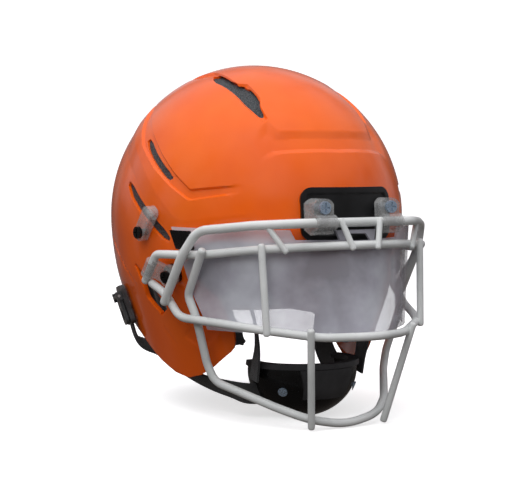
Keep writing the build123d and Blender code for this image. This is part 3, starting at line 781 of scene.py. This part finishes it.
def inflate(pads):
    """Cloth simulation of all pads together, with the swelling capped."""
    for pad in pads:
        cloth = add(pad, "CLOTH")
        cloth.settings.use_pressure = True
        cloth.settings.uniform_pressure_force = PRESSURE
        cloth.settings.effector_weights.gravity = 0
        cloth.settings.quality = 4
        cloth.point_cache.frame_end = INFLATE_STEPS
    for step in range(1, INFLATE_STEPS + 1):
        bpy.context.scene.frame_set(step)
    graph = bpy.context.evaluated_depsgraph_get()
    swollen = [coordinates(pad.evaluated_get(graph).data) for pad in pads]
    for pad, after in zip(pads, swollen):
        before = coordinates(pad.data)
        move = after - before
        size = np.linalg.norm(move, axis=1)[:, None]
        capped = before + move * np.minimum(1, SWELL_CAP / np.maximum(size, 1e-9))
        pad.modifiers.clear()
        pad.data.vertices.foreach_set("co", capped.ravel())
        pad.data.update()
    bpy.context.scene.frame_set(1)


def quilt(pad, across, up, pitch_across, pitch_up):
    """Presses channels into a pad along two sets of lines, between its cells."""
    mesh = pad.data
    axes = {"x": 0, "y": 1, "z": 2}
    points = (coordinates(mesh) - np.array(HEAD)) / MM
    out = np.array([v.normal for v in mesh.vertices])
    u = points[:, axes[across]] / pitch_across
    v = points[:, axes[up]] / pitch_up + 0.5 * (np.floor(u + 0.5) % 2)
    near_u = np.abs(u - np.round(u - 0.5) - 0.5) * pitch_across
    near_v = np.abs(v - np.round(v)) * pitch_up
    press = SEAM_DEPTH * (1 - smooth(np.minimum(near_u, near_v), SEAM_FLAT, SEAM_REACH))
    mesh.vertices.foreach_set("co", ((points - out * press[:, None]) * MM + np.array(HEAD)).ravel())
    mesh.update()


def make_pads():
    pads = [start_pad(node) for node in PADS]
    inflate(pads)
    for pad, (node, (body, slot, across, up, wide, tall)) in zip(pads, PADS.items()):
        add(pad, "SUBSURF", levels=1, render_levels=1)
        apply_modifiers(pad)
        quilt(pad, across, up, wide, tall)
        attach(pad, body)
        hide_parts(node)
        finish_piece(pad, slot, 80)


# ---------------------------------------------------------------- chin straps

STRAP_WIDTH, STRAP_THICK = 19.0, 1.8
UPPER_WIDTH = 13.0
UPPER_ROUTE = [(53.4, -92, -134), (53.2, -95, -120), (53.8, -98, -104), (55, -95.5, -84), (57, -88, -66),
               (59, -79, -50)]
UPPER_FACING = [(1, 0, 0), (1, 0.1, 0), (0.95, 0.3, 0)] + [(0.88, 0.45, 0)] * 3
LOWER_ROUTE = [(33, -88, -147), (52, -80, -147), (60, -62, -145), (67.5, -40, -142), (74.5, -18, -136.5),
               (82, 3, -128.5), (88.5, 19, -118.5), (98.2, 33.6, -111.0), (102.9, 38.0, -95.4)]
LOWER_FACING = [(0.6, -0.7, -0.2), (0.8, -0.5, -0.2), (0.8, -0.3, -0.5), (0.8, 0, -0.6), (0.8, 0.2, -0.6),
                (0.8, 0.3, -0.6), (0.85, 0.3, -0.45), (0.92, 0.3, -0.3), (0.92, 0.3, -0.3)]
PER_SPAN = 10


def curve_through(points, per_span=PER_SPAN):
    """Smooth curve through points, with its own direction at both ends."""
    points = [Vector(p) for p in points]
    points = [points[0] * 2 - points[1]] + points + [points[-1] * 2 - points[-2]]
    path = []
    for a, b, c, d in zip(points, points[1:], points[2:], points[3:]):
        for k in range(per_span):
            t = k / per_span
            path.append(0.5 * (2 * b + (c - a) * t + (2 * a - 5 * b + 4 * c - d) * t * t
                               + (3 * b - a - 3 * c + d) * t ** 3))
    return path + [points[-2]]


def strap_section(width, thick, across=10):
    """Closed outline of webbing: flat faces with softly rounded, slightly thicker edges."""
    upper = []
    for k in range(across + 1):
        turn = math.pi * k / across
        side = -math.cos(turn)
        lift = min(1.0, math.sin(turn) * 3) * (1 + 0.12 * smooth(abs(side), 0.7, 0.9))
        upper.append((side * width / 2, lift * thick / 2))
    return upper + [(side, -lift) for side, lift in reversed(upper[1:-1])]


def make_strap(name, route, facing, width, sign, node):
    path = curve_through([(sign * x, y, z) for x, y, z in route])
    faces_to = curve_through([(sign * x, y, z) for x, y, z in facing])
    section = strap_section(width, STRAP_THICK)
    points, flat, length = [], [], 0.0
    for k, (here, out) in enumerate(zip(path, faces_to)):
        before, after = path[max(0, k - 1)], path[min(len(path) - 1, k + 1)]
        along = (after - before).normalized()
        wide = out.cross(along).normalized()
        deep = along.cross(wide)
        length += (here - before).length
        for side, lift in section:
            points.append(here + wide * side + deep * lift)
            flat.append((length * MM, side * MM))
    count = len(section)
    faces = []
    for row in range(0, (len(path) - 1) * count, count):
        for k in range(count):
            after = (k + 1) % count
            faces.append((row + k, row + after, row + count + after, row + count + k))
    last = (len(path) - 1) * count
    faces += [tuple(range(count - 1, -1, -1)), tuple(range(last, last + count))]
    mesh = bpy.data.meshes.new(name)
    mesh.from_pydata([HEAD + p * MM for p in points], [], faces)
    layer = mesh.uv_layers.new(name="UVMap")
    for loop in mesh.loops:
        layer.data[loop.index].uv = flat[loop.vertex_index]
    work = bmesh.new()
    work.from_mesh(mesh)
    bmesh.ops.recalc_face_normals(work, faces=work.faces)
    work.to_mesh(mesh)
    work.free()
    piece = bpy.data.objects.new(name, mesh)
    bpy.context.scene.collection.objects.link(piece)
    finish_piece(piece, "webbing", 50)
    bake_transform(piece)
    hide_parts(node)


def make_straps():
    for side, sign in (("left", 1), ("right", -1)):
        make_strap("upper_webbing_" + side, UPPER_ROUTE, UPPER_FACING, UPPER_WIDTH, sign,
                   "upper_strap_" + side)
        make_strap("lower_webbing_" + side, LOWER_ROUTE, LOWER_FACING, STRAP_WIDTH, sign,
                   "lower_strap_" + side)


# ---------------------------------------------------------------- scene

ROUNDED = {"clear_plastic": 0.5, "black_plastic": 0.4, "screw_steel": 0.25, "buckle_plastic": 0.4,
           "cup_trim": 0.5, "smoke_lens": 0.3}      # edge rounding by finish


BLACK_SCREWS = {screw + side: "black_plastic" for screw in ("upper_screw_", "side_screw_")
                for side in ("left", "right")}


def carry_over():
    """Gives every CAD node that still shows its finish, with softened edges."""
    for row in RECORD["subparts"]:
        node = NODES[row["node"]]
        if node.hide_render:
            continue
        finish_piece(node, BLACK_SCREWS.get(row["node"], row["material_slot"]), 32)
        rounding = ROUNDED.get(row["material_slot"])
        if rounding and row["node"] != "cup_rivets":
            add(node, "BEVEL", width=rounding * MM, segments=2, angle_limit=math.radians(40))
        add(node, "WEIGHTED_NORMAL", keep_sharp=True)


CAMERA_TURN, CAMERA_RISE, CAMERA_ROLL = -31.38, 3.84, 0.31      # degrees
CAMERA_AWAY, CAMERA_RIGHT, CAMERA_UP = 1395.0, -7.2, 29.0       # mm from the shell's centre
LENS = 106.8


def make_camera():
    turn, rise, roll = (math.radians(a) for a in (CAMERA_TURN, CAMERA_RISE, CAMERA_ROLL))
    back = Vector((math.sin(turn) * math.cos(rise), -math.cos(turn) * math.cos(rise), math.sin(rise)))
    level = Vector((math.cos(turn), math.sin(turn), 0))
    over = back.cross(level)
    right = level * math.cos(roll) + over * math.sin(roll)
    up = over * math.cos(roll) - level * math.sin(roll)
    place_at = HEAD + (back * CAMERA_AWAY - right * CAMERA_RIGHT - up * CAMERA_UP) * MM
    camera = bpy.data.objects.new("camera", bpy.data.cameras.new("camera"))
    camera.data.lens = LENS
    camera.matrix_world = Matrix((right, up, back)).transposed().to_4x4()
    camera.location = place_at
    bpy.context.scene.collection.objects.link(camera)
    bpy.context.scene.camera = camera


def make_light(name, towards, away, size, power, colour=(1, 1, 1), shines=False):
    lamp = bpy.data.lights.new(name, "AREA")
    lamp.size, lamp.energy, lamp.color = size, power, colour
    lamp.shape = "DISK"
    thing = bpy.data.objects.new(name, lamp)
    spot = Vector(towards).normalized()
    thing.location = HEAD + spot * away
    thing.rotation_euler = spot.to_track_quat("Z", "Y").to_euler()
    thing.visible_glossy = shines
    bpy.context.scene.collection.objects.link(thing)


BEND_START, BEND_R = 1.6, 1.2          # metres behind the helmet
PAPER_GLOW = 0.62


def make_stage():
    """Pale floor that curves up into a backdrop behind the helmet."""
    profile = [(-4.0, 0.0), (BEND_START, 0.0)]
    for a in np.linspace(0.15, math.pi / 2, 12):
        profile.append((BEND_START + BEND_R * math.sin(a), BEND_R - BEND_R * math.cos(a)))
    profile.append((BEND_START + BEND_R, 5.0))
    turn = math.radians(CAMERA_TURN)
    away = Vector((-math.sin(turn), math.cos(turn), 0))
    across = Vector((math.cos(turn), math.sin(turn), 0))
    points = []
    for run, height in profile:
        for side in (-6, 6):
            points.append(away * run + across * side + Vector((0, 0, height - 0.0005)))
    faces = [(2 * k, 2 * k + 1, 2 * k + 3, 2 * k + 2) for k in range(len(profile) - 1)]
    mesh = bpy.data.meshes.new("backdrop")
    mesh.from_pydata(points, [], faces)
    mesh.shade_smooth()
    floor = bpy.data.objects.new("backdrop", mesh)
    bpy.context.scene.collection.objects.link(floor)
    paint = Paint("pale_paper", 0.9)
    paint.ramp(paint.noise(3), 0.2, 0.8, [(0.93, 0.93, 0.93), (0.95, 0.95, 0.95)])
    paint.shader.inputs["Emission Color"].default_value = (1, 1, 1, 1)
    paint.shader.inputs["Emission Strength"].default_value = PAPER_GLOW
    mesh.materials.append(paint.material)
    floor.visible_diffuse = False
    floor.visible_glossy = False


SKY_PATCHES, SKY_RANGE, SKY_STRENGTH = 2.2, 2.2, 0.62
SKY = [(0.0, (0.10, 0.085, 0.075)), (0.42, (0.16, 0.14, 0.13)), (0.58, (0.42, 0.41, 0.42)),
       (0.72, (0.8, 0.79, 0.84)), (1.0, (1.0, 0.97, 1.0))]      # share of the height, colour


def make_world():
    """Soft sky: bright overhead, duller towards the horizon and dark below it, with faint cloudy patches."""
    world = bpy.data.worlds.new("studio")
    bpy.context.scene.world = world
    world.use_nodes = True
    nodes, links = world.node_tree.nodes, world.node_tree.links
    background = nodes["Background"]
    where = nodes.new("ShaderNodeTexCoord").outputs["Generated"]
    height = nodes.new("ShaderNodeSeparateXYZ")
    links.new(where, height.inputs["Vector"])
    patches = nodes.new("ShaderNodeTexNoise")
    patches.inputs["Scale"].default_value = 3.2
    patches.inputs["Detail"].default_value = 5.0
    links.new(where, patches.inputs["Vector"])
    mixed = nodes.new("ShaderNodeMath")
    mixed.operation = "MULTIPLY_ADD"
    mixed.inputs[1].default_value = SKY_PATCHES
    links.new(patches.outputs["Fac"], mixed.inputs[0])
    links.new(height.outputs["Z"], mixed.inputs[2])
    share = nodes.new("ShaderNodeMapRange")
    share.inputs["From Min"].default_value = 0.0
    share.inputs["From Max"].default_value = SKY_RANGE
    links.new(mixed.outputs["Value"], share.inputs["Value"])
    ramp = nodes.new("ShaderNodeValToRGB")
    while len(ramp.color_ramp.elements) < len(SKY):
        ramp.color_ramp.elements.new(0.5)
    for element, (place_at, colour) in zip(ramp.color_ramp.elements, SKY):
        element.position = place_at
        element.color = (*colour, 1)
    links.new(share.outputs["Result"], ramp.inputs["Fac"])
    links.new(ramp.outputs["Color"], background.inputs["Color"])
    background.inputs["Strength"].default_value = SKY_STRENGTH


def make_lights():
    make_world()
    make_light("top_softbox", (-0.25, 0.0, 1), 1.5, 1.6, 13, (1, 0.97, 0.98))
    make_light("key_softbox", (-0.9, -0.9, 0.8), 2.0, 1.4, 14)
    make_light("fill_softbox", (1.0, -0.7, 0.3), 2.2, 1.2, 2)
    bpy.context.scene.view_settings.view_transform = "Standard"


make_shell()
make_bumpers()
make_facemask()
make_pads()
make_straps()
carry_over()
make_camera()
make_stage()
make_lights()
